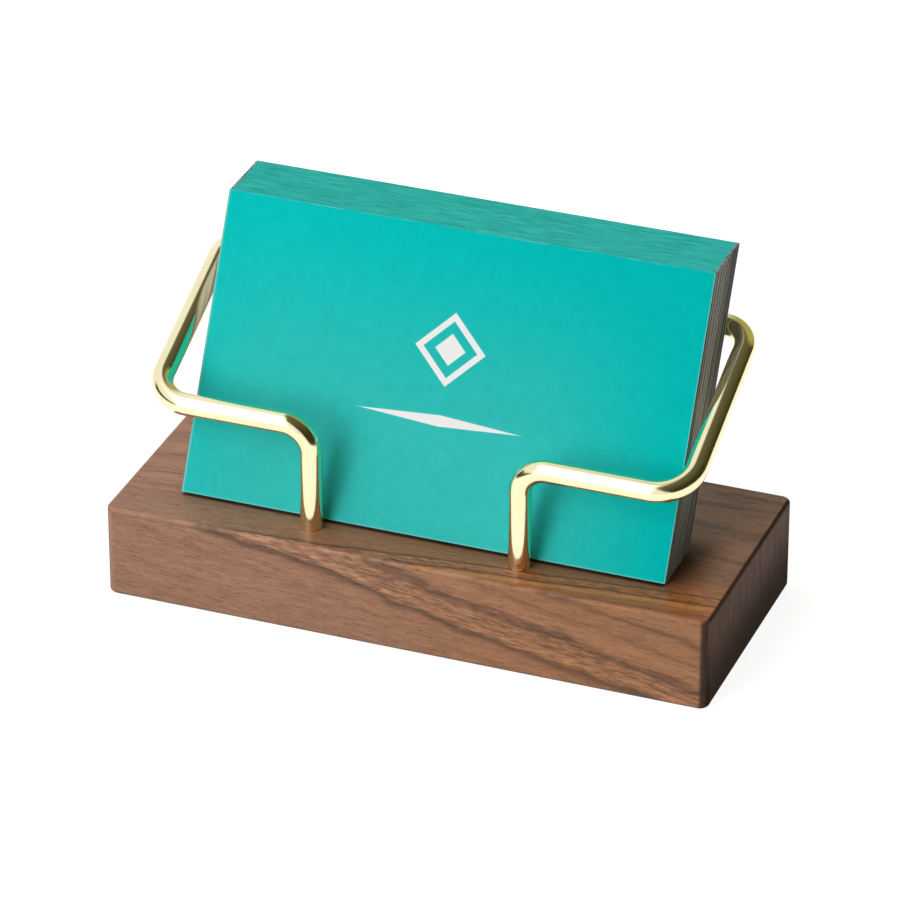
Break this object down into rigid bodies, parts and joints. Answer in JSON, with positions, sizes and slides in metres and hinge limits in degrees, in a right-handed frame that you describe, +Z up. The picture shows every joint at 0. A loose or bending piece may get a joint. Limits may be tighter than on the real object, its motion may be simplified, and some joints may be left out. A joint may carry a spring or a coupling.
{
  "type": "business card holder",
  "caption": "Desk card stand: a rounded walnut block carries a bent brass rod whose front bars, side arms and rear bar hold a leaning deck of cards.",
  "frame": {"origin": "middle of the block's underside, on the surface that it stands on", "axes": "+X to the right along the block's length, +Y from the open front to the rear bar, +Z up"},
  "size_m": [0.1118, 0.0466, 0.0662],
  "materials": {
    "walnut": "satin oil",
    "brass": "polished",
    "card_stock": "matte"
  },
  "bodies": {
    "stand": {"walnut_base": "walnut", "wire_frame": "brass"},
    "front_card": {"card_01": "card_stock"},
    "card_deck": {"card_02": "card_stock", "card_03": "card_stock", "card_04": "card_stock", "card_05": "card_stock", "card_06": "card_stock", "card_07": "card_stock", "card_08": "card_stock", "card_09": "card_stock", "card_10": "card_stock", "card_11": "card_stock", "card_12": "card_stock", "card_13": "card_stock", "card_14": "card_stock", "card_15": "card_stock", "card_16": "card_stock", "card_17": "card_stock", "card_18": "card_stock", "card_19": "card_stock", "card_20": "card_stock", "card_21": "card_stock", "card_22": "card_stock", "card_23": "card_stock", "card_24": "card_stock", "card_25": "card_stock", "card_26": "card_stock", "card_27": "card_stock", "card_28": "card_stock", "card_29": "card_stock", "card_30": "card_stock", "card_31": "card_stock"}
  },
  "joints": [
    {"name": "front_card_lift", "type": "slide", "parent": "stand", "child": "front_card", "axis": [0, 0.4462, 0.8949], "range_m": [0, 0.06]},
    {"name": "deck_lift", "type": "slide", "parent": "stand", "child": "card_deck", "axis": [0, 0.4462, 0.8949], "range_m": [0, 0.06]}
  ]
}
